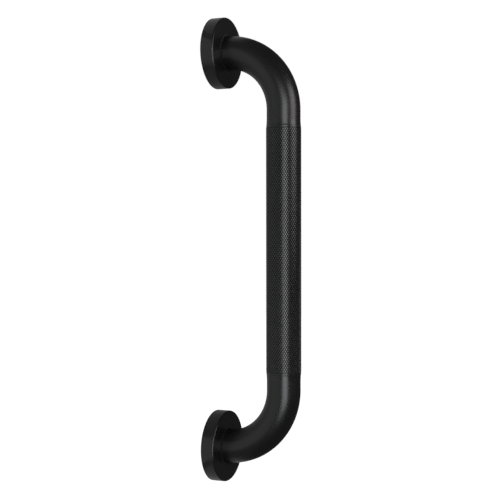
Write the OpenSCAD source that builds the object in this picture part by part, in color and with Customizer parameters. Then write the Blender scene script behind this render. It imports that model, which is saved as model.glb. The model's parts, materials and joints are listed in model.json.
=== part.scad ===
// Wall grab bar.
// A steel tube, bent at both ends, stands off the wall and carries a knurled
// sleeve where the hand holds it. Each end is welded through a round mounting
// plate that sits on a thin gasket. A pressed round cover hides each plate; it
// is loose on the tube, guided by a grommet in its hole, and slides away from
// the wall and round the bend so that the screws can be reached.
//
// Origin: centre of the lower mounting plate, on the wall plane (y = 0).
// +Z runs up the wall, +Y points into the wall, the bar stands out to -Y.

/* [Bar] */
// Distance between the centres of the two ends, along the wall
centres = 380; // [380:5:900]
// Distance from the wall to the centre line of the bar
projection = 71.5; // [71.5:0.5:100]
// Outside diameter of the tube
tube_d = 32; // [30:0.5:34]
// Wall thickness of the tube
tube_wall = 1.5; // [1.2:0.1:3]
// Centre-line radius of each bend
bend_r = 57.5; // [50:0.5:57.5]

/* [Grip] */
// Length of the knurled sleeve, collars included
grip_len = 238; // [120:1:260]
// Outside diameter of the knurled sleeve
grip_d = 33.3; // [33.2:0.1:36]
// Width of the smooth collar at each end of the sleeve
collar_w = 1.6; // [1:0.1:6]
// Depth of the fine groove between the collar and the knurl
groove_h = 0.25; // [0.1:0.05:0.4]

/* [Mounting plates] */
// Diameter of each mounting plate and its gasket
plate_d = 60; // [60:0.5:61]
// Thickness of each mounting plate
plate_t = 3.2; // [2.5:0.1:4]
// Thickness of the gasket between the plate and the wall
gasket_t = 1.5; // [1:0.1:2]
// Circle that the screw holes lie on
bolt_circle_d = 51; // [48:0.5:52]
// Diameter of each screw hole
bolt_hole_d = 6; // [4.5:0.1:6]
// Number of screw holes in each plate
bolt_count = 3; // [3:1:6]
// Leg of the weld bead round the tube
weld_leg = 3; // [2:0.1:3.4]

/* [Covers] */
// Outside diameter of each cover
cover_d = 68; // [67:0.5:90]
// Height of each cover's front face above the wall
cover_h = 13.5; // [12.5:0.1:14]
// Sheet thickness of the covers
cover_t = 1; // [0.8:0.1:1.2]
// Radius of the cover's front edge
cover_edge_r = 1.2; // [1.2:0.1:3]
// Gap between the cover's rim and the wall
cover_gap = 0.3; // [0.1:0.1:0.6]
// Diameter of the cover's hole, which the grommet sits in
cover_hole_d = 35; // [35:0.1:36]

/* [Hidden] */
$fn = 96;

cut = 1;                                // how far cutting shapes overrun

tube_r = tube_d / 2;
bore_r = tube_r - tube_wall;
leg_end = projection - bend_r;          // the bend starts here

// Radial clearances
grip_fit = 0.02;                        // sleeve on the tube
plate_fit = 0.05;                       // tube in its plate, before welding
slide_fit = 0.10;                       // grommet on the tube, cover on the grommet

// Sleeve end chamfer: a share of the sleeve's wall, up to a limit
grip_chamfer_max = 0.35;
grip_chamfer_share = 0.6;

plate_chamfer = 0.4;                    // plate's front edge
gasket_hole_inset = 1;                  // gasket's hole inside the tube's bore

// Grommet lips: t along the tube, w outward from the grommet's groove floor
front_lip_t = 0.5;
front_lip_w = 0.9;                      // against the sheet
front_lip_face_w = 0.5;                 // at the bevelled front face
back_lip_t = 0.9;
back_lip_w = 1.5;

// Direction of the first screw hole: away from the other end of the bar
upper_turn = 90;
lower_turn = 270;

black = [0.13, 0.13, 0.135];
plate_grey = [0.62, 0.62, 0.61];
gasket_black = [0.08, 0.08, 0.08];
weld_grey = [0.5, 0.48, 0.45];
grommet_black = [0.05, 0.05, 0.05];

// Shapes for the ends are drawn standing on z = 0, which is the wall, and are
// then turned so that their height points away from the wall.
module at_end(end_z, turn = 0)
    translate([0, 0, end_z]) rotate([90, 0, 0]) rotate([0, 0, turn]) children();

module tube_section() {
    difference() {
        circle(r = tube_r);
        circle(r = bore_r);
    }
}

// One leg and its bend, from the plate's back face to the straight grip part,
// for the upper end; the lower end is its mirror image. z = 0 is mid-bar.
module tube_leg() {
    translate([0, -gasket_t, centres / 2]) rotate([90, 0, 0])
        linear_extrude(height = leg_end - gasket_t) tube_section();
    translate([0, -leg_end, centres / 2 - bend_r]) rotate([0, -90, 180])
        rotate_extrude(angle = 90) translate([bend_r, 0]) tube_section();
}

module grab_tube() {
    color(black) translate([0, 0, centres / 2]) union() {
        tube_leg();
        mirror([0, 0, 1]) tube_leg();
        translate([0, -projection, -(centres / 2 - bend_r)])
            linear_extrude(height = centres - 2 * bend_r) tube_section();
    }
}

// Sleeve: two smooth chamfered collars, a fine V groove inside each, and the
// knurled length between them at its crest diameter.
module knurled_grip() {
    inner_r = tube_r + grip_fit;
    outer_r = grip_d / 2;
    chamfer = min(grip_chamfer_max, (outer_r - inner_r) * grip_chamfer_share);
    // Outline of the lower end, going up: [radius, distance from the end]
    end_outline = [
        [inner_r, 0],
        [outer_r - chamfer, 0],
        [outer_r, chamfer],
        [outer_r, collar_w],
        [outer_r - groove_h, collar_w + groove_h],
        [outer_r, collar_w + 2 * groove_h]];
    last = len(end_outline) - 1;
    // The upper end is the same outline, measured down from the top
    upper_outline = [for (i = [last : -1 : 0])
        [end_outline[i][0], grip_len - end_outline[i][1]]];
    color(black) translate([0, -projection, (centres - grip_len) / 2])
        rotate_extrude() polygon(concat(end_outline, upper_outline));
}

module bolt_holes(thickness) {
    for (i = [0 : bolt_count - 1])
        rotate([0, 0, i * 360 / bolt_count]) translate([bolt_circle_d / 2, 0, -cut])
            cylinder(d = bolt_hole_d, h = thickness + 2 * cut);
}

module mounting_plate(end_z, turn) {
    hole_r = tube_r + plate_fit;
    rim_r = plate_d / 2;
    color(plate_grey) at_end(end_z, turn) translate([0, 0, gasket_t])
        difference() {
            rotate_extrude() polygon([
                [hole_r, 0],
                [rim_r, 0],
                [rim_r, plate_t - plate_chamfer],
                [rim_r - plate_chamfer, plate_t],
                [hole_r, plate_t]]);
            bolt_holes(plate_t);
        }
}

module wall_gasket(end_z, turn) {
    color(gasket_black) at_end(end_z, turn)
        difference() {
            cylinder(d = plate_d, h = gasket_t);
            translate([0, 0, -cut])
                cylinder(r = bore_r - gasket_hole_inset, h = gasket_t + 2 * cut);
            bolt_holes(gasket_t);
        }
}

// Convex fillet weld in the corner between the tube and the plate's front.
module weld_bead(end_z) {
    color(weld_grey) at_end(end_z) translate([0, 0, gasket_t + plate_t])
        rotate_extrude() translate([tube_r, 0]) intersection() {
            circle(r = weld_leg);
            square([weld_leg + cut, weld_leg + cut]);
        }
}

// Pressed cup, open to the wall: front face with a hole for the tube, a small
// rounded edge, and a plain rim.
module flange_cover(end_z) {
    hole_r = cover_hole_d / 2;
    width = cover_d / 2 - hole_r;
    height = cover_h - cover_gap;
    color(black) at_end(end_z) rotate_extrude() difference() {
        union() {
            translate([hole_r, cover_gap])
                square([width - cover_edge_r, height]);
            translate([hole_r, cover_gap])
                square([width, height - cover_edge_r]);
            translate([cover_d / 2 - cover_edge_r, cover_h - cover_edge_r])
                circle(r = cover_edge_r);
        }
        translate([hole_r - cut, cover_gap - cut])
            square([width - cover_t + cut, height - cover_t + cut]);
    }
}

// Ring with a groove round its outside, snapped into the cover's hole. It
// guides the cover on the tube and keeps the two finishes from rubbing.
module cover_grommet(end_z) {
    inner_r = tube_r + slide_fit;
    groove_r = cover_hole_d / 2 - slide_fit;
    groove_front = cover_h + slide_fit;
    groove_back = cover_h - cover_t - slide_fit;
    color(grommet_black) at_end(end_z) rotate_extrude() polygon([
        [inner_r, groove_back - back_lip_t],
        [groove_r + back_lip_w, groove_back - back_lip_t],
        [groove_r + back_lip_w, groove_back],
        [groove_r, groove_back],
        [groove_r, groove_front],
        [groove_r + front_lip_w, groove_front],
        [groove_r + front_lip_face_w, groove_front + front_lip_t],
        [inner_r, groove_front + front_lip_t]]);
}

module upper_mounting_plate() mounting_plate(centres, upper_turn);
module lower_mounting_plate() mounting_plate(0, lower_turn);
module upper_weld_bead() weld_bead(centres);
module lower_weld_bead() weld_bead(0);
module upper_wall_gasket() wall_gasket(centres, upper_turn);
module lower_wall_gasket() wall_gasket(0, lower_turn);
module upper_cover_grommet() cover_grommet(centres);
module lower_cover_grommet() cover_grommet(0);
module upper_flange_cover() flange_cover(centres);
module lower_flange_cover() flange_cover(0);

grab_tube();
knurled_grip();
upper_mounting_plate();
lower_mounting_plate();
upper_weld_bead();
lower_weld_bead();
upper_wall_gasket();
lower_wall_gasket();
upper_cover_grommet();
lower_cover_grommet();
upper_flange_cover();
lower_flange_cover();
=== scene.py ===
# A wall-mounted grab bar: one bent tube with a knurled grip, and at each end a cover, a grommet,
# a welded fixing plate and a gasket. The wall is the plane y = 0 and the bar stands out from it
# towards -Y. The grip runs along Z, the two legs along Y, and everything is centred on x = 0.
import json
import math

import bmesh
import bpy
import numpy as np
from mathutils import Matrix, Vector


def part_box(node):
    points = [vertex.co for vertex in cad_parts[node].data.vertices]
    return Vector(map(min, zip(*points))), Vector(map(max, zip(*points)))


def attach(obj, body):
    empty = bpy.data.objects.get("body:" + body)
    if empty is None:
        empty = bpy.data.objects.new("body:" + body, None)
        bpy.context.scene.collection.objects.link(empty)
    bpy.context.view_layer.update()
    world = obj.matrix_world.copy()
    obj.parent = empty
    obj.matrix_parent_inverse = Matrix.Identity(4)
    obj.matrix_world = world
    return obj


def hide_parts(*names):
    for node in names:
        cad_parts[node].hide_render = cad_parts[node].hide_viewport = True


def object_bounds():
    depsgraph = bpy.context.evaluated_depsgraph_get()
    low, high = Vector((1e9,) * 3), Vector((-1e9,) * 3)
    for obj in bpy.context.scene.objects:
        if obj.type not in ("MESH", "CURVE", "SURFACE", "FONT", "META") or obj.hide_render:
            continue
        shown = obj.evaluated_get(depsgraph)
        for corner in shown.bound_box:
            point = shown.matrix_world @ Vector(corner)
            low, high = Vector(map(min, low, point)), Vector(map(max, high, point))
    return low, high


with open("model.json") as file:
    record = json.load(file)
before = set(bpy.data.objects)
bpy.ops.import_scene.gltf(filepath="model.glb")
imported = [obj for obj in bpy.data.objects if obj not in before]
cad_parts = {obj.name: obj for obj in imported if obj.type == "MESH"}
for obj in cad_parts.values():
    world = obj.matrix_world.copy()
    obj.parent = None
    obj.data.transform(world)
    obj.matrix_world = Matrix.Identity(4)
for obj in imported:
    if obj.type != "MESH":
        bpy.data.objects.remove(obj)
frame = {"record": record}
cad_lo, cad_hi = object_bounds()

MM = 0.001

# ---------------------------------------------------------------- dimensions from the frame
# "Back" and "front" are heights off the wall.
_, tube_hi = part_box("grab_tube")
grip_lo, grip_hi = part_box("knurled_grip")
plate_lo, plate_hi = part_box("lower_mounting_plate")
weld_lo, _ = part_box("lower_weld_bead")
gasket_lo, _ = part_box("lower_wall_gasket")
grommet_lo, grommet_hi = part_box("lower_cover_grommet")
cover_lo, cover_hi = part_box("lower_flange_cover")
mounts = {mount["name"]: mount for mount in frame["record"]["mounts"]}
joints = {joint["name"]: joint for joint in frame["record"]["behaviour"]["joints"]}
bolts = mounts["lower_wall_bolts"]["dims"]
bend_centre = joints["upper_cover_travel"]["pos_m"]      # centre of the upper bend

Z_LOW = mounts["lower_wall_bolts"]["pos_m"][2]           # axis of the lower leg
Z_UP = mounts["upper_wall_bolts"]["pos_m"][2]            # axis of the upper leg
Z_MID = (Z_UP + Z_LOW) / 2
TUBE_R = tube_hi.x
LEG_END = -bend_centre[1]                                # where a leg runs into its bend
BEND_R = Z_UP - bend_centre[2]
PROJECTION = LEG_END + BEND_R                            # from the wall to the grip's axis
GASKET_T = -gasket_lo.y
PLATE_BACK = -plate_hi.y
PLATE_FRONT = -plate_lo.y
PLATE_R = plate_hi.x
WELD_LEG = -weld_lo.y - PLATE_FRONT
COVER_R = cover_hi.x
COVER_FRONT = -cover_lo.y
COVER_BACK = -cover_hi.y
GROMMET_R = grommet_hi.x
GROMMET_FRONT = -grommet_lo.y
GROMMET_BACK = -grommet_hi.y
GRIP_R = grip_hi.x
BOLT_CIRCLE_R = bolts["pcd_mm"] * MM / 2
BOLT_R = bolts["hole_r_mm"] * MM
BOLT_COUNT = bolts["count"]

# ---------------------------------------------------------------- other dimensions
TUBE_WALL = 1.5 * MM
BORE_R = TUBE_R - TUBE_WALL
TUBE_BREAK = 0.25 * MM           # broken edge on the tube's cut ends
COVER_T = 1.0 * MM               # sheet thickness of the cover
COVER_HOLE_R = 17.5 * MM
GROMMET_NECK_R = COVER_HOLE_R - 0.1 * MM
GROMMET_LAP = 0.9 * MM           # how far the front lip covers the sheet
PLATE_CHAMFER = 0.25 * MM        # at the mouths of the plate's holes
GASKET_CHAMFER = 0.08 * MM

KNURL_N = 45                     # diamonds around
KNURL_STEPS = 8                  # mesh steps per diamond on the plain ends
KNURL_D = 0.36 * MM              # depth of the knurl
KNURL_ROOT_R = GRIP_R - KNURL_D
KNURL_ANGLE = 31.5               # nominal degrees between the grooves and the axis
KNURL_LAND = 0.66                # share of each diamond's width that stands up
LEAD_IN = 2.5 * MM               # gentle slope from the tube up to the collar
COLLAR_W = 1.0 * MM
GROOVE = 0.13 * MM               # width of each slope of the groove between collar and knurl
RUN_OUT = 3.2 * MM               # powder coat run out on the tube beyond each end

WELD_BEADS = 54
WELD_STEPS = WELD_BEADS * 8      # mesh steps around
WELD_FACE_STEPS = 9              # points across the weld's face


# ---------------------------------------------------------------- mesh tools
def raw_object(name, verts, faces):
    mesh = bpy.data.meshes.new(name)
    mesh.from_pydata(verts, [], faces)
    ob = bpy.data.objects.new(name, mesh)
    bpy.context.scene.collection.objects.link(ob)
    return ob


def smooth_shade(mesh, angle):
    """Smooth shading, with edges sharp above angle in degrees."""
    mesh.polygons.foreach_set("use_smooth", [True] * len(mesh.polygons))
    mesh.set_sharp_from_angle(angle=math.radians(angle))
    mesh.update()


def build(name, verts, faces, angle=32.0, relief=None):
    """A smooth-shaded object with outward normals and, if given, a relief value per point."""
    ob = raw_object(name, verts, faces)
    mesh = ob.data
    if relief is not None:
        layer = mesh.attributes.new("relief", "FLOAT", "POINT")
        layer.data.foreach_set("value", np.asarray(relief, dtype=np.float32))
    bm = bmesh.new()
    bm.from_mesh(mesh)
    bmesh.ops.recalc_face_normals(bm, faces=bm.faces)
    if bm.calc_volume(signed=True) < 0:
        bmesh.ops.reverse_faces(bm, faces=bm.faces)
    bm.to_mesh(mesh)
    bm.free()
    smooth_shade(mesh, angle)
    return ob


def full_turn(steps):
    return [2 * math.pi * i / steps for i in range(steps)]


def band(lower, upper):
    """Quads between two closed rings of point numbers."""
    n = len(lower)
    return [(lower[i], lower[(i + 1) % n], upper[(i + 1) % n], upper[i]) for i in range(n)]


def turned_faces(around, across):
    """Quads of a grid closed both around the axis and across its outline."""
    faces = []
    for i in range(around):
        j = (i + 1) % around
        for k in range(across):
            n = (k + 1) % across
            faces.append((i * across + k, j * across + k, j * across + n, i * across + n))
    return faces


def rounded(points, steps):
    """A closed outline from (radius, height, corner radius) points."""
    outline = []
    for i in range(len(points)):
        corner = np.array(points[i][:2], float)
        fillet = points[i][2]
        if fillet <= 0:
            outline.append(tuple(corner))
            continue
        before = np.array(points[i - 1][:2], float) - corner
        after = np.array(points[(i + 1) % len(points)][:2], float) - corner
        before_len, after_len = np.linalg.norm(before), np.linalg.norm(after)
        before, after = before / before_len, after / after_len
        half = math.acos(max(-1.0, min(1.0, float(before @ after)))) / 2
        # The rounding takes less than half of either side.
        setback = min(fillet / math.tan(half), before_len * 0.49, after_len * 0.49)
        fillet = setback * math.tan(half)
        bisector = (before + after) / np.linalg.norm(before + after)
        centre = corner + bisector * (fillet / math.sin(half))
        start, end = corner + before * setback - centre, corner + after * setback - centre
        cosine = float(start @ end) / (np.linalg.norm(start) * np.linalg.norm(end))
        sweep = math.acos(max(-1.0, min(1.0, cosine)))
        for k in range(steps + 1):
            u = k / steps
            spoke = math.sin((1 - u) * sweep) * start + math.sin(u * sweep) * end
            outline.append(tuple(centre + spoke / math.sin(sweep)))
    return outline


def lathe(name, outline, leg_z, around, angle=32.0):
    """Turns a closed (radius, height off the wall) outline about a leg's axis."""
    verts = [(r * math.cos(a), -h, leg_z + r * math.sin(a))
             for a in full_turn(around) for r, h in outline]
    return build(name, verts, turned_faces(around, len(outline)), angle)


def cut(ob, cutters):
    """Takes the cutters out of ob and keeps the result as its mesh."""
    for cutter in cutters:
        modifier = ob.modifiers.new("cut", "BOOLEAN")
        modifier.operation = "DIFFERENCE"
        modifier.solver = "EXACT"
        modifier.object = cutter
    depsgraph = bpy.context.evaluated_depsgraph_get()
    mesh = bpy.data.meshes.new_from_object(ob.evaluated_get(depsgraph))
    ob.modifiers.clear()
    uncut = ob.data
    ob.data = mesh
    bpy.data.meshes.remove(uncut)
    for cutter in cutters:
        bpy.data.objects.remove(cutter)
    bm = bmesh.new()
    bm.from_mesh(mesh)
    bmesh.ops.remove_doubles(bm, verts=bm.verts, dist=1e-7)
    bmesh.ops.recalc_face_normals(bm, faces=bm.faces)
    bm.to_mesh(mesh)
    bm.free()
    mesh.materials.clear()      # drops any slot that came with the boolean
    smooth_shade(mesh, 32)
    return ob


# ---------------------------------------------------------------- the tube
def tube_leg(side, leg_z):
    """Centre line of a leg and its bend: (y, z, normal y, normal z). side is +1 for the upper."""
    stations = [(-h, leg_z, 0.0, side) for h in np.linspace(PLATE_BACK, LEG_END, 14)]
    for degrees in np.linspace(0, 90, 97)[1:]:
        a = math.radians(degrees)
        stations.append((-LEG_END - BEND_R * math.sin(a),
                         leg_z - side * BEND_R * (1 - math.cos(a)),
                         -math.sin(a), side * math.cos(a)))
    return stations


def make_tube():
    """One bent tube with its bore, and a small break on the cut ends."""
    around = 160
    upper = tube_leg(1.0, Z_UP)
    lower = tube_leg(-1.0, Z_LOW)[::-1]
    straight = [(-PROJECTION, z, -1.0, 0.0)
                for z in np.linspace(upper[-1][1], lower[0][1], 66)[1:-1]]
    path = upper + straight + lower
    first, last, middle = path[0], path[-1], path[1:-1]
    first_in, last_in = [(p[0] - TUBE_BREAK,) + p[1:] for p in (first, last)]
    mouth_r, rim_r = BORE_R + TUBE_BREAK * 0.6, TUBE_R - TUBE_BREAK

    # Along the outside from the upper end to the lower one, then back along the bore.
    sections = [(first, mouth_r), (first, rim_r), (first_in, TUBE_R)]
    sections += [(p, TUBE_R) for p in middle]
    sections += [(last_in, TUBE_R), (last, rim_r), (last, mouth_r), (last_in, BORE_R)]
    sections += [(p, BORE_R) for p in middle[::-1]]
    sections.append((first_in, BORE_R))

    verts = [(r * math.cos(a), y + r * math.sin(a) * normal_y, z + r * math.sin(a) * normal_z)
             for (y, z, normal_y, normal_z), r in sections for a in full_turn(around)]
    rings = [range(k * around, (k + 1) * around) for k in range(len(sections))]
    faces = []
    for k, ring in enumerate(rings):
        faces += band(ring, rings[(k + 1) % len(rings)])
    return build("bar_tube", verts, faces, 30)


# ---------------------------------------------------------------- the knurled sleeve
def sleeve_end_profile():
    """(radius, distance from the sleeve's end towards its middle) from the bore to the knurl.

    The coat fills the corner against the tube, so the shoulder is a long shallow slope, with a
    fine line in it at the sleeve's edge. The collar stays below the crests of the knurl.
    """
    bore = TUBE_R + 0.02 * MM
    rise = GRIP_R - TUBE_R
    collar_end = LEAD_IN + COLLAR_W
    slope = [   # share of the rise from tube to grip, distance
        (0.18, -RUN_OUT * 0.44), (0.37, LEAD_IN * 0.24), (0.59, LEAD_IN * 0.66),
        (0.47, LEAD_IN * 0.71), (0.50, LEAD_IN * 0.76), (0.66, LEAD_IN * 0.81),
        (0.73, LEAD_IN * 0.94), (0.755, LEAD_IN + COLLAR_W * 0.10),
        (0.755, collar_end - 0.05 * MM), (0.70, collar_end),
    ]
    return ([(bore, 0.0), (bore, -RUN_OUT), (bore + 0.03 * MM, -(RUN_OUT - 0.30 * MM))]
            + [(TUBE_R + rise * share, distance) for share, distance in slope]
            + [(KNURL_ROOT_R + 0.10 * MM, collar_end + GROOVE)])


def make_knurl():
    """Diamond knurl as real relief: two crossing sets of V grooves and round crowned diamonds."""
    plain = LEAD_IN + COLLAR_W + 2 * GROOVE
    knurl_lo, knurl_hi = grip_lo.z + plain, grip_hi.z - plain
    pitch = 2 * math.pi * GRIP_R / KNURL_N / math.tan(math.radians(KNURL_ANGLE))
    last_row = 2 * int(round((knurl_hi - knurl_lo) / pitch))
    half = (knurl_hi - knurl_lo) / last_row      # half a diamond's length, between rows
    around = KNURL_N * KNURL_STEPS
    plain_relief = 0.64                          # relief value on the plain ends, which also sets their painted shade
    verts, faces, relief = [], [], []

    def point(turn, z, height, r=None):
        """turn counts diamonds around; height is 0 in the grooves and 1 on the crests."""
        a = 2 * math.pi * turn / KNURL_N
        if r is None:
            r = KNURL_ROOT_R + KNURL_D * height
        verts.append((r * math.cos(a), -PROJECTION + r * math.sin(a), z))
        relief.append(height)
        return len(verts) - 1

    # Where the grooves cross; the first and last rows are full rings.
    crossings, full_rings = [], {}
    for row in range(last_row + 1):
        z = knurl_lo + row * half
        if row in (0, last_row):
            full_rings[row] = [point(i / KNURL_STEPS, z, 0.0) for i in range(around)]
            crossings.append(full_rings[row][::KNURL_STEPS])
        else:
            offset = 0.5 if row % 2 else 0.0
            crossings.append([point(i + offset, z, 0.0) for i in range(KNURL_N)])

    # (share of the diamond's width, height) of the steps up each diamond
    levels = ((KNURL_LAND, 0.90), (KNURL_LAND * 0.66, 0.98))

    def whole_diamond(centre, z, corners):
        outer = corners
        for width, height in levels:
            ring = (point(centre, z - half * width, height),
                    point(centre + 0.5 * width, z, height),
                    point(centre, z + half * width, height),
                    point(centre - 0.5 * width, z, height))
            faces.extend(band(outer, ring))
            outer = ring
        crown = point(centre, z, 1.0)
        for q in range(4):
            faces.append((outer[q], outer[(q + 1) % 4], crown))

    def half_diamond(centre, z, inward, left, right, tip, arc):
        """A diamond cut off flat at the end of the knurl, a small margin inside its ring."""
        width, height = levels[0]
        margin = 0.14 * MM
        reach = 0.5 * (width - margin / half)
        low = point(centre - reach, z + inward * margin, height)
        high = point(centre + reach, z + inward * margin, height)
        top = point(centre, z + inward * half * width, height)
        faces.append(tuple(arc) + (high, low))
        faces.append((right, tip, top, high))
        faces.append((tip, left, low, top))
        faces.append((low, high, top))

    for row in range(last_row + 1):
        odd = row % 2
        z = knurl_lo + row * half
        for i in range(KNURL_N):
            centre = i + 0.5 + (0.5 if odd else 0.0)
            left, right = crossings[row][i], crossings[row][(i + 1) % KNURL_N]
            k = (i + odd) % KNURL_N
            if 0 < row < last_row:
                whole_diamond(centre, z,
                              (crossings[row - 1][k], right, crossings[row + 1][k], left))
            else:
                inward = 1 if row == 0 else -1
                arc = [full_rings[row][(i * KNURL_STEPS + q) % around]
                       for q in range(KNURL_STEPS + 1)]
                half_diamond(centre, z, inward, left, right, crossings[row + inward][k], arc)

    bore_rings = []
    for row, end_z, inward in ((0, grip_lo.z, 1), (last_row, grip_hi.z, -1)):
        rings = [[point(i / KNURL_STEPS, end_z + inward * distance, plain_relief, r)
                  for i in range(around)] for r, distance in sleeve_end_profile()]
        rings.append(full_rings[row])
        bore_rings.append(rings[0])
        for lower, upper in zip(rings[:-1], rings[1:]):
            faces.extend(band(lower, upper))
    faces.extend(band(*bore_rings))
    return build("grip_sleeve", verts, faces, 30, relief)


# ---------------------------------------------------------------- the ends
# Outlines are (radius, height off the wall, corner radius).
def make_cover(name, leg_z):
    sheet_back = COVER_FRONT - COVER_T
    return lathe(name, rounded([
        (COVER_HOLE_R, sheet_back, 0.18 * MM),
        (COVER_HOLE_R, COVER_FRONT, 0.35 * MM),
        (COVER_R, COVER_FRONT, 1.35 * MM),
        (COVER_R, COVER_BACK, 0.30 * MM),
        (COVER_R - COVER_T, COVER_BACK, 0.22 * MM),
        (COVER_R - COVER_T, sheet_back, 0.6 * MM),
    ], 9), leg_z, 256, 28)


def make_grommet(name, leg_z):
    """A ring round the tube, with a neck through the cover's hole and a lip on each side."""
    bore = TUBE_R + 0.1 * MM
    lap_r = GROMMET_NECK_R + GROMMET_LAP
    slot_front = COVER_FRONT + 0.02 * MM
    slot_back = COVER_FRONT - COVER_T - 0.08 * MM
    return lathe(name, rounded([
        (bore, GROMMET_BACK, 0.3 * MM),
        (GROMMET_R, GROMMET_BACK, 0.35 * MM),
        (GROMMET_R, slot_back, 0.12 * MM),
        (GROMMET_NECK_R, slot_back, 0.0),
        (GROMMET_NECK_R, slot_front, 0.0),
        (lap_r, slot_front, 0.0),
        (lap_r, slot_front + 0.015 * MM, 0.0),
        (bore + 0.20 * MM, GROMMET_FRONT - 0.30 * MM, 0.15 * MM),
        (bore, GROMMET_FRONT - 0.36 * MM, 0.05 * MM),
    ], 6), leg_z, 160, 40)


def hole_cutter(x, z, back, front, chamfer):
    """A turned cutter for one screw hole, wider at both mouths."""
    over = 0.5 * MM         # how far it stands out of the piece
    around = 48
    mouth_r = BOLT_R + chamfer + over
    sections = [(mouth_r, back - over), (BOLT_R, back + chamfer),
                (BOLT_R, front - chamfer), (mouth_r, front + over)]
    verts = [(x, -(back - over), z)]
    verts += [(x + r * math.cos(a), -h, z + r * math.sin(a))
              for r, h in sections for a in full_turn(around)]
    verts.append((x, -(front + over), z))
    starts = [1 + k * around for k in range(len(sections))]
    last = len(verts) - 1
    faces = []
    for i in range(around):
        j = (i + 1) % around
        faces.append((0, starts[0] + j, starts[0] + i))
        for a, b in zip(starts[:-1], starts[1:]):
            faces.append((a + i, a + j, b + j, b + i))
        faces.append((last, starts[-1] + i, starts[-1] + j))
    return build("hole_cutter", verts, faces)


def drill(ob, leg_z, back, front, chamfer):
    """The screw holes: the first is at the top of the upper end and the bottom of the lower."""
    start = 90 if leg_z > Z_MID else 270
    angles = [math.radians(start + k * 360 / BOLT_COUNT) for k in range(BOLT_COUNT)]
    return cut(ob, [hole_cutter(BOLT_CIRCLE_R * math.cos(a), leg_z + BOLT_CIRCLE_R * math.sin(a),
                                back, front, chamfer) for a in angles])


def make_plate(name, leg_z):
    bore = TUBE_R + 0.05 * MM
    disc = lathe(name, rounded([
        (bore, PLATE_BACK, 0.15 * MM),
        (PLATE_R, PLATE_BACK, 0.25 * MM),
        (PLATE_R, PLATE_FRONT, 0.6 * MM),
        (bore, PLATE_FRONT, 0.05 * MM),
    ], 5), leg_z, 192)
    return drill(disc, leg_z, PLATE_BACK, PLATE_FRONT, PLATE_CHAMFER)


def make_gasket(name, leg_z):
    bore = BORE_R - 1.0 * MM
    disc = lathe(name, rounded([
        (bore, 0.0, 0.2 * MM),
        (PLATE_R, 0.0, 0.35 * MM),
        (PLATE_R, GASKET_T, 0.35 * MM),
        (bore, GASKET_T, 0.2 * MM),
    ], 5), leg_z, 160)
    return drill(disc, leg_z, 0.0, GASKET_T, GASKET_CHAMFER)


def make_weld(name, leg_z):
    """Fillet weld of overlapping beads, so its face is rippled and its toes wander a little."""
    verts = []
    for a in full_turn(WELD_STEPS):
        bead = a / (2 * math.pi) * WELD_BEADS
        along = bead - math.floor(bead)         # 0 to 1 along one bead
        wander = 0.04 * math.sin(3 * a + 0.7) + 0.03 * math.sin(7 * a + 2.1)
        ripple = (1 - along) ** 1.4 * 0.16 + wander
        if a > 2 * math.pi - 0.10:              # a step where the run meets its start
            ripple -= 0.10
        plate_toe = WELD_LEG * (0.97 - 0.35 * abs(ripple))
        tube_toe = WELD_LEG * (0.97 - 0.30 * abs(0.04 * math.sin(5 * a) + ripple * 0.6))
        fullness = (0.90 - 0.5 * max(0.0, ripple)) / 0.9 * 0.5 + 0.5
        section = [(0.0, 0.0)]                  # the corner, then the face from plate to tube
        for q in range(WELD_FACE_STEPS):
            b = math.pi / 2 * q / (WELD_FACE_STEPS - 1)
            out = plate_toe * math.cos(b) if q < WELD_FACE_STEPS - 1 else 0.0
            high = tube_toe * math.sin(b) if q > 0 else 0.0
            hollow = 1 - (1 - fullness) * math.sin(2 * b)
            section.append((out * hollow, high * hollow))
        for out, high in section:
            r = TUBE_R + out
            verts.append((r * math.cos(a), -(PLATE_FRONT + high), leg_z + r * math.sin(a)))
    return build(name, verts, turned_faces(WELD_STEPS, WELD_FACE_STEPS + 1), 50)


# ---------------------------------------------------------------- node tools
NOISE_BAND = (0.3, 0.7)         # the range that most of a noise's values fall in
WHITE = (1, 1, 1, 1)


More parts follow.
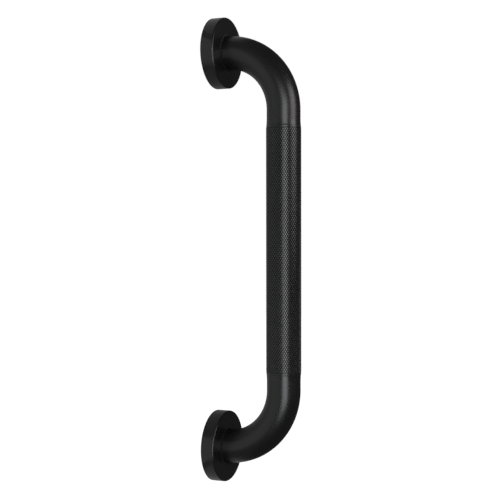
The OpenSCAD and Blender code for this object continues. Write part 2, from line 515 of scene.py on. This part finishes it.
class Graph:
    """A short way to write node graphs."""

    def __init__(self, tree):
        self.tree = tree
        tree.nodes.clear()

    def node(self, kind, inputs=None, **props):
        node = self.tree.nodes.new(kind)
        for key, value in props.items():
            setattr(node, key, value)
        for key, value in (inputs or {}).items():
            self.put(node, key, value)
        return node

    def put(self, node, key, value):
        """Links value to an input if it is a socket, and sets it otherwise."""
        socket = node.inputs[key]
        if isinstance(value, bpy.types.NodeSocket):
            self.tree.links.new(value, socket)
        else:
            socket.default_value = value

    def math(self, operation, a, b, clamp=False):
        node = self.node("ShaderNodeMath", {0: a, 1: b}, operation=operation, use_clamp=clamp)
        return node.outputs[0]

    def multiply(self, a, b):
        return self.math("MULTIPLY", a, b)

    def vector(self, operation, a, b):
        node = self.node("ShaderNodeVectorMath", {0: a, 1: b}, operation=operation)
        return node.outputs["Vector"]

    def length(self, vector):
        node = self.node("ShaderNodeVectorMath", {0: vector}, operation="LENGTH")
        return node.outputs["Value"]

    def scale(self, vector, factor):
        node = self.node("ShaderNodeVectorMath", {0: vector, "Scale": factor}, operation="SCALE")
        return node.outputs["Vector"]

    def split(self, vector):
        return self.node("ShaderNodeSeparateXYZ", {0: vector}).outputs

    def noise(self, vector, scale, detail=2.0, rough=0.5, distortion=0.0):
        return self.node("ShaderNodeTexNoise", {
            "Scale": scale, "Detail": detail, "Roughness": rough, "Distortion": distortion,
            "Vector": vector}).outputs["Fac"]

    def remap(self, value, band, low=0.0, high=1.0, smooth=False):
        """Maps the two ends of band to low and high."""
        return self.node("ShaderNodeMapRange", {
            "Value": value, "From Min": band[0], "From Max": band[1],
            "To Min": low, "To Max": high},
            interpolation_type="SMOOTHSTEP" if smooth else "LINEAR").outputs["Result"]

    def mix(self, factor, a, b, blend="MIX"):
        return self.node("ShaderNodeMix", {0: factor, 6: a, 7: b},
                         data_type="RGBA", blend_type=blend).outputs[2]

    def bump(self, height, strength, distance, normal=None):
        inputs = {"Strength": strength, "Distance": distance, "Height": height}
        if normal is not None:
            inputs["Normal"] = normal
        return self.node("ShaderNodeBump", inputs).outputs[0]

    def attribute(self, name, output):
        return self.node("ShaderNodeAttribute", attribute_name=name).outputs[output]

    def light_path(self, output):
        return self.node("ShaderNodeLightPath").outputs[output]

    def glow(self, strength, kind="ShaderNodeEmission"):
        """A white emission or background."""
        return self.node(kind, {"Color": WHITE, "Strength": strength}).outputs[0]

    def edge_mask(self, radius):
        """1 on edges and 0 on flats, from how far the rounded normal leaves the plain one."""
        bevel = self.node("ShaderNodeBevel", {"Radius": radius}, samples=4).outputs[0]
        normal = self.node("ShaderNodeNewGeometry").outputs["Normal"]
        dot = self.node("ShaderNodeVectorMath", {0: bevel, 1: normal}, operation="DOT_PRODUCT")
        return self.remap(dot.outputs["Value"], (0.985, 0.90))


def empty_material(name):
    material = bpy.data.materials.new(name)
    material.use_nodes = True
    graph = Graph(material.node_tree)
    return material, graph, graph.node("ShaderNodeOutputMaterial")


def surface_material(name):
    """A principled material, with the object's own coordinates."""
    material, graph, output = empty_material(name)
    shader = graph.node("ShaderNodeBsdfPrincipled")
    graph.put(output, 0, shader.outputs[0])
    return material, graph, shader, graph.node("ShaderNodeTexCoord").outputs["Object"]


def tone(colour, factor):
    return (*[c * factor for c in colour], 1)


# ---------------------------------------------------------------- materials
# Noise scales are per metre.
COAT_BLACK = (0.0064, 0.0064, 0.0063)
STEEL = (0.60, 0.59, 0.57)
STEEL_ROUGH = 0.30
WELD_DARK = (0.275, 0.253, 0.248, 1)
WELD_BRIGHT = (0.575, 0.4968, 0.38, 1)
HEAT_BAND = (19.0 * MM, 25.0 * MM)      # radii over which the heat tint fades out
HEAT_TINTS = (                          # place in the band, colour
    (0.18, (0.30, 0.16, 0.30, 1)),
    (0.34, (0.62, 0.38, 0.14, 1)),
    (0.6, (0.95, 0.80, 0.52, 1)),
)
HEAT_START = (0.10, 0.13, 0.26, 1)


def coat_material(name, rough, wear, peel, relief=False):
    """Matte black powder coat: orange peel, small changes of gloss and shade, rubbed edges.

    wear is the strength of the rubbed edges and peel that of the bumps.
    """
    material, graph, shader, place = surface_material(name)
    broad = graph.noise(place, scale=18.0, detail=4.0, rough=0.55, distortion=0.3)
    medium = graph.noise(place, scale=160.0, detail=3.0, rough=0.55)
    orange_peel = graph.noise(place, scale=900.0, detail=1.5, rough=0.45)
    grain = graph.noise(place, scale=5200.0, detail=1.0)
    speck = graph.noise(place, scale=2600.0, detail=0.0)

    shade = graph.multiply(graph.remap(broad, NOISE_BAND, low=0.90, high=1.10),
                           graph.remap(medium, NOISE_BAND, low=0.96, high=1.04))
    colour = graph.scale(COAT_BLACK, shade)
    patches = graph.remap(medium, (0.42, 0.66))
    rub = graph.multiply(graph.multiply(graph.edge_mask(0.5 * MM), patches), wear)
    if relief:      # the knurl is rubbed on its crests; its colour and specular level carry painted shade in the grooves and a painted highlight on the crests
        height = graph.attribute("relief", "Fac")
        crest = graph.remap(height, (0.72, 1.0))
        handled = graph.remap(graph.noise(place, scale=30.0, detail=3.0, rough=0.6),
                              (0.35, 0.7), low=0.25)
        crest_rub = graph.multiply(crest, graph.multiply(handled, 0.35))
        rub = graph.math("ADD", rub, crest_rub, clamp=True)
        # Painted shade and highlight: colour and specular level fall from crest to groove as
        # painted shade in the grooves, and rise to a painted highlight on the crests.
        relief_shade = graph.remap(height, (0.25, 0.85))
        colour = graph.scale(colour, graph.remap(relief_shade, (0.0, 1.0), low=0.7, high=1.6))
        graph.put(shader, "Specular IOR Level",
                  graph.remap(relief_shade, (0.0, 1.0), low=0.20, high=0.66))
    graph.put(shader, "Base Color", graph.mix(rub, colour, tone(COAT_BLACK, 3.0)))

    gloss = graph.remap(broad, NOISE_BAND, low=rough - 0.02, high=rough + 0.02)
    gloss = graph.math("ADD", gloss, graph.remap(speck, NOISE_BAND, low=-0.015, high=0.015))
    graph.put(shader, "Roughness", graph.math("SUBTRACT", gloss, graph.multiply(rub, 0.06)))
    graph.put(shader, "IOR", 1.5)
    bump = graph.bump(orange_peel, strength=peel, distance=0.10 * MM)
    bump = graph.bump(grain, strength=peel, distance=0.015 * MM, normal=bump)
    graph.put(shader, "Normal", bump)
    return material


def rubber_material(name, base, rough, cell, specular):
    """Rubber with a fine cellular skin; cell is the scale of the cells."""
    material, graph, shader, place = surface_material(name)
    fine = graph.noise(place, scale=cell, detail=3.0, rough=0.6)
    broad = graph.noise(place, scale=45.0, detail=3.0)
    colour = graph.mix(graph.remap(broad, (0.35, 0.65)), tone(base, 0.8), tone(base, 1.35))
    edges = graph.multiply(graph.edge_mask(0.3 * MM), 0.15)
    graph.put(shader, "Base Color", graph.mix(edges, colour, tone(base, 1.8)))
    graph.put(shader, "Specular IOR Level", specular)
    graph.put(shader, "Roughness",
              graph.remap(fine, NOISE_BAND, low=rough - 0.06, high=rough + 0.06))
    cells = graph.node("ShaderNodeTexVoronoi", {"Vector": place, "Scale": cell * 0.8})
    bump = graph.bump(cells.outputs["Distance"], strength=0.25, distance=0.06 * MM)
    bump = graph.bump(fine, strength=0.25, distance=0.03 * MM, normal=bump)
    graph.put(shader, "Normal", bump)
    return material


def steel_material(name, leg_z):
    """Brushed stainless plate, with a heat tint round the weld."""
    material, graph, shader, place = surface_material(name)
    # The noises are stretched along X, so the brush lines run that way.
    brush = graph.noise(graph.vector("MULTIPLY", place, (35.0, 500.0, 2000.0)),
                        scale=1.0, detail=3.0, rough=0.6)
    fine = graph.noise(graph.vector("MULTIPLY", place, (120.0, 1500.0, 8000.0)),
                       scale=1.0, rough=0.6)
    patches = graph.noise(place, scale=70.0, detail=4.0, rough=0.6)
    metal = graph.mix(graph.remap(brush, NOISE_BAND), tone(STEEL, 0.86), tone(STEEL, 1.1))

    from_leg = graph.vector("SUBTRACT", place, (0.0, 0.0, leg_z))
    radius = graph.length(graph.vector("MULTIPLY", from_leg, (1.0, 0.0, 1.0)))
    uneven = graph.remap(patches, NOISE_BAND, low=-0.6 * MM, high=0.6 * MM)
    radius = graph.math("ADD", radius, uneven)
    ramp = graph.node("ShaderNodeValToRGB", {"Fac": graph.remap(radius, HEAT_BAND)})
    stops = ramp.color_ramp.elements
    stops[0].color = HEAT_START
    stops[1].color = WHITE
    for position, colour in HEAT_TINTS:
        stops.new(position).color = colour
    graph.put(shader, "Base Color", graph.mix(0.75, metal, ramp.outputs[0], blend="MULTIPLY"))

    graph.put(shader, "Metallic", 1.0)
    rough = graph.remap(brush, NOISE_BAND, low=STEEL_ROUGH - 0.07, high=STEEL_ROUGH + 0.09)
    dull = graph.remap(patches, (0.4, 0.7), high=0.08)
    graph.put(shader, "Roughness", graph.math("ADD", rough, dull))
    bump = graph.bump(brush, strength=0.12, distance=0.02 * MM)
    bump = graph.bump(fine, strength=0.08, distance=0.01 * MM, normal=bump)
    graph.put(shader, "Normal", bump)
    return material


def weld_material(name):
    material, graph, shader, place = surface_material(name)
    broad = graph.noise(place, scale=240.0, detail=4.0, rough=0.6)
    fine = graph.noise(place, scale=2200.0, detail=3.0, rough=0.6)
    graph.put(shader, "Base Color",
              graph.mix(graph.remap(broad, (0.35, 0.65)), WELD_DARK, WELD_BRIGHT))
    graph.put(shader, "Metallic", 0.95)
    graph.put(shader, "Roughness", graph.remap(fine, NOISE_BAND, low=0.30, high=0.50))
    graph.put(shader, "Normal", graph.bump(fine, strength=0.5, distance=0.05 * MM))
    return material


mat_tube = coat_material("powder_coat_tube", rough=0.325, wear=0.35, peel=0.06)
mat_grip = coat_material("powder_coat_knurl", rough=0.28, wear=0.25, peel=0.05, relief=True)
mat_cover = coat_material("powder_coat_cover", rough=0.30, wear=0.12, peel=0.06)
mat_gasket = rubber_material("gasket_foam_rubber", base=(0.020, 0.020, 0.020), rough=0.86,
                             cell=1500.0, specular=0.25)
mat_grommet = rubber_material("grommet_rubber", base=(0.0085, 0.0085, 0.0085), rough=0.55,
                              cell=2600.0, specular=0.30)
mat_weld = weld_material("weld_metal")


# ---------------------------------------------------------------- pieces
def place_piece(ob, node, body, material):
    ob.data.materials.append(material)
    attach(ob, body)
    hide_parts(node)


place_piece(make_tube(), "grab_tube", "rail", mat_tube)
place_piece(make_knurl(), "knurled_grip", "rail", mat_grip)

for end, leg_z in (("upper", Z_UP), ("lower", Z_LOW)):
    mat_plate = steel_material("brushed_plate_" + end, leg_z)
    for make, part, node, body, slot, material in (
        (make_cover, "cover_shell", "flange_cover", end + "_cover", "cover_coat", mat_cover),
        (make_grommet, "grommet_ring", "cover_grommet", end + "_grommet", "grommet_rubber",
         mat_grommet),
        (make_plate, "fixing_plate", "mounting_plate", "rail", "plate_steel", mat_plate),
        (make_weld, "weld_fillet", "weld_bead", "rail", "weld_steel", mat_weld),
        (make_gasket, "gasket_disc", "wall_gasket", "rail", "gasket_rubber", mat_gasket),
    ):
        place_piece(make(end + "_" + part, leg_z), end + "_" + node, body, material)

# ---------------------------------------------------------------- render settings and world
scene = bpy.context.scene
scene.view_settings.view_transform = "Standard"
scene.view_settings.look = "None"
scene.cycles.use_denoising = False      # the denoiser would wipe out the fine knurl
scene.view_settings.exposure = 0.0
scene.view_settings.gamma = 1.0


def make_world():
    """White to the camera; otherwise a dark room, a little lighter at the wall's left side."""
    world = bpy.data.worlds.new("studio")
    scene.world = world
    world.use_nodes = True
    graph = Graph(world.node_tree)
    output = graph.node("ShaderNodeOutputWorld")
    x, y, z = graph.split(graph.node("ShaderNodeTexCoord").outputs["Generated"])
    room = graph.multiply(graph.remap(y, (-0.2, 0.5), smooth=True),
                          graph.remap(x, (0.5, -0.3), smooth=True))
    # The strength of that light is the same at every height.
    room = graph.multiply(room, graph.remap(z, (0.5, -0.5), low=0.15, high=0.15, smooth=True))
    room = graph.math("ADD", room, 0.057)
    mixed = graph.node("ShaderNodeMixShader", {
        0: graph.light_path("Is Camera Ray"),
        1: graph.glow(room, "ShaderNodeBackground"),
        2: graph.glow(1.0, "ShaderNodeBackground")})
    graph.put(output, 0, mixed.outputs[0])


def hide_from(ob, *rays):
    for ray in rays:
        setattr(ob, "visible_" + ray, False)


def make_floor():
    """Plain pale floor, well below the bar, that only the camera sees."""
    z = cad_lo.z - 0.9
    reach = 14.0
    floor = raw_object("floor", [(-reach, -reach, z), (reach, -reach, z),
                                 (reach, reach, z), (-reach, reach, z)], [(0, 1, 2, 3)])
    material, graph, shader, place = surface_material("floor_pale")
    graph.put(shader, "Base Color", graph.mix(graph.noise(place, scale=3.0, detail=3.0),
                                              (0.86, 0.86, 0.86, 1), (0.90, 0.90, 0.90, 1)))
    graph.put(shader, "Roughness", 0.8)
    graph.put(shader, "Emission Color", WHITE)
    # It glows brighter with distance, to meet the white background.
    far = graph.remap(graph.length(place), (1.2, 3.0), low=0.55, smooth=True)
    graph.put(shader, "Emission Strength", graph.multiply(graph.light_path("Is Camera Ray"), far))
    floor.data.materials.append(material)
    hide_from(floor, "glossy", "diffuse", "shadow")


make_world()
make_floor()


# ---------------------------------------------------------------- lights
# Azimuths are degrees round the grip's axis from -Y, towards +X.
def around_grip(azimuth, distance, z):
    a = math.radians(azimuth)
    return (math.sin(a) * distance, -math.cos(a) * distance - PROJECTION, z)


def softbox(name, azimuth, distance, z, width, height, radiance, colour):
    """A plain rectangular softbox that faces the grip's axis at its own height."""
    data = bpy.data.lights.new(name, "AREA")
    data.shape = "RECTANGLE"
    data.size, data.size_y = width, height
    data.energy = radiance * math.pi * width * height
    data.color = colour
    lamp = bpy.data.objects.new(name, data)
    scene.collection.objects.link(lamp)
    lamp.location = position = Vector(around_grip(azimuth, distance, z))
    target = Vector((0.0, -PROJECTION, z))
    lamp.rotation_mode = "QUATERNION"
    lamp.rotation_quaternion = (target - position).to_track_quat("-Z", "Y")
    hide_from(lamp, "camera")
    return lamp


lamps = [
    softbox("strip_left", azimuth=-58.8, distance=1.35, z=0.125, width=0.78, height=1.25,
            radiance=4.35, colour=(0.96, 0.98, 1.0)),
    softbox("box_front", azimuth=0.8, distance=1.0, z=0.60, width=0.66, height=0.66,
            radiance=3.5, colour=(1.0, 0.96, 0.95)),
]


def strip_faces(steps):
    """Quads of a strip whose points come in pairs."""
    return [(2 * k - 2, 2 * k - 1, 2 * k + 1, 2 * k) for k in range(1, steps + 1)]


def make_card():
    """A tall curved white card to the left of the bar and behind it, for its sides to mirror."""
    distance, low, high, steps = 1.3, -0.76, 0.88, 40
    start, sweep = -94.0, -112.0            # azimuths
    fade = 0.3                              # height of the soft border at top and bottom
    verts = [around_grip(start + sweep * k / steps, distance, z)
             for k in range(steps + 1) for z in (low, high)]
    card = raw_object("card", verts, strip_faces(steps))
    # The places as built, for the fades: the mesh itself is moved into the rig's frame later.
    places = card.data.attributes.new("place", "FLOAT_VECTOR", "POINT")
    places.data.foreach_set("vector", [c for vert in verts for c in vert])
    material, graph, output = empty_material("card_white")
    x, _, z = graph.split(graph.attribute("place", "Vector"))
    soft = graph.multiply(graph.remap(z, (low, low + fade), smooth=True),
                          graph.remap(z, (high, high - fade), smooth=True))
    soft = graph.multiply(soft, graph.remap(x, (0.30, -0.35), low=0.12, smooth=True))
    graph.put(output, 0, graph.glow(graph.multiply(soft, 0.51)))
    card.data.materials.append(material)
    hide_from(card, "camera", "shadow")
    return card


card = make_card()

# White cards lie just behind the wall plane: the covers' rims and the legs mirror them.
WALL_CARD_Y = 0.5 * MM
CARD_START = COVER_R + 1.0 * MM
CARD_RING = COVER_R + 34.0 * MM             # outer radius of the cards close to each cover
CARD_SIDE = COVER_R + 120.0 * MM


def wall_card(name, verts, faces, near, far, reach):
    """near is the strength for surfaces closer than reach, far for others; None is clear."""
    card = raw_object(name, verts, faces)
    material, graph, output = empty_material(name)
    close = graph.remap(graph.light_path("Ray Length"), (reach, reach * 0.8))
    if far is None:
        clear = graph.node("ShaderNodeBsdfTransparent").outputs[0]
        mixed = graph.node("ShaderNodeMixShader", {0: close, 1: clear, 2: graph.glow(near)})
        surface = mixed.outputs[0]
    else:
        surface = graph.glow(graph.remap(close, (0.0, 1.0), low=far, high=near))
    graph.put(output, 0, surface)
    card.data.materials.append(material)
    hide_from(card, "camera", "shadow", "diffuse")


def sector(name, leg_z, radii, angles, near, far, reach):
    """A wall card that is part of a ring round a leg; angles are degrees from +X towards +Z."""
    steps = 32
    verts = []
    for k in range(steps + 1):
        a = math.radians(angles[0] + (angles[1] - angles[0]) * k / steps)
        verts += [(r * math.cos(a), WALL_CARD_Y, leg_z + r * math.sin(a)) for r in radii]
    wall_card(name, verts, strip_faces(steps), near, far, reach)


for end, leg_z, side in (("upper", Z_UP, 1), ("lower", Z_LOW, -1)):
    for part, radii, angles, near, far, reach in (
        ("outer", (CARD_START, CARD_RING), (38 * side, 142 * side), 0.41, None, 0.06),
        ("inner", (CARD_START, CARD_RING), (-38 * side, -138 * side), 0.26, 0.33, 0.05),
        ("side", (CARD_START, CARD_SIDE), (180 - 24, 180 + 24), 0.56, None, 0.16),
        ("right", (CARD_START, CARD_SIDE), (-24, 24), 0.56, None, 0.16),
        ("far", (COVER_R + 35.0 * MM, COVER_R + 110.0 * MM), (25 * side, 105 * side),
         0.50, None, 0.20),
    ):
        sector("wall_card_%s_%s" % (end, part), leg_z, radii, angles, near, far, reach)

card_lo, card_hi = Z_LOW + CARD_RING, Z_UP - CARD_RING
wall_card("wall_card_middle",
          [(x, WALL_CARD_Y, z) for x, z in ((-0.015, card_lo), (0.16, card_lo),
                                            (0.16, card_hi), (-0.015, card_hi))],
          [(0, 1, 2, 3)], near=0.30, far=0.30, reach=0.05)

# ---------------------------------------------------------------- camera
TUBE_D = 2 * TUBE_R
CAM_AZIMUTH, CAM_ELEVATION, CAM_ROLL = [math.radians(v) for v in (-65.6438, 0.7035, -0.0598)]
CAM_DISTANCE = 34.811 * TUBE_D
CAM_SHIFT_RIGHT = 1.0386 * TUBE_D
CAM_SHIFT_UP = -0.0054 * TUBE_D


def make_camera():
    data = bpy.data.cameras.new("camera")
    camera = bpy.data.objects.new("camera", data)
    scene.collection.objects.link(camera)
    scene.camera = camera
    back = Vector((math.sin(CAM_AZIMUTH) * math.cos(CAM_ELEVATION),
                   -math.cos(CAM_AZIMUTH) * math.cos(CAM_ELEVATION), math.sin(CAM_ELEVATION)))
    level_right = (-back).cross(Vector((0, 0, 1))).normalized()
    level_up = level_right.cross(-back)
    right = level_right * math.cos(CAM_ROLL) + level_up * math.sin(CAM_ROLL)
    up = level_up * math.cos(CAM_ROLL) - level_right * math.sin(CAM_ROLL)
    pose = Matrix((right, up, back)).transposed().to_4x4()
    pose.translation = (back * CAM_DISTANCE + right * CAM_SHIFT_RIGHT + up * CAM_SHIFT_UP
                        + Vector((0, 0, Z_MID)))
    camera.matrix_world = pose
    data.sensor_width = 36.0
    data.lens = 82.46664
    data.clip_start, data.clip_end = 0.01, 100.0
    return camera


def turn_with_camera(camera):
    """The softboxes and the big card follow the camera, so every side of the bar is lit alike."""
    card.location = (0.0, -PROJECTION, Z_MID)
    track = card.constraints.new("TRACK_TO")
    track.target = camera
    track.track_axis = "TRACK_NEGATIVE_Y"
    track.up_axis = "UP_Z"
    bpy.context.view_layer.update()
    to_rig = card.matrix_world.inverted()
    card.data.transform(to_rig)
    for lamp in lamps:
        lamp.parent = card
        lamp.matrix_parent_inverse = to_rig
    bpy.context.view_layer.update()


turn_with_camera(make_camera())
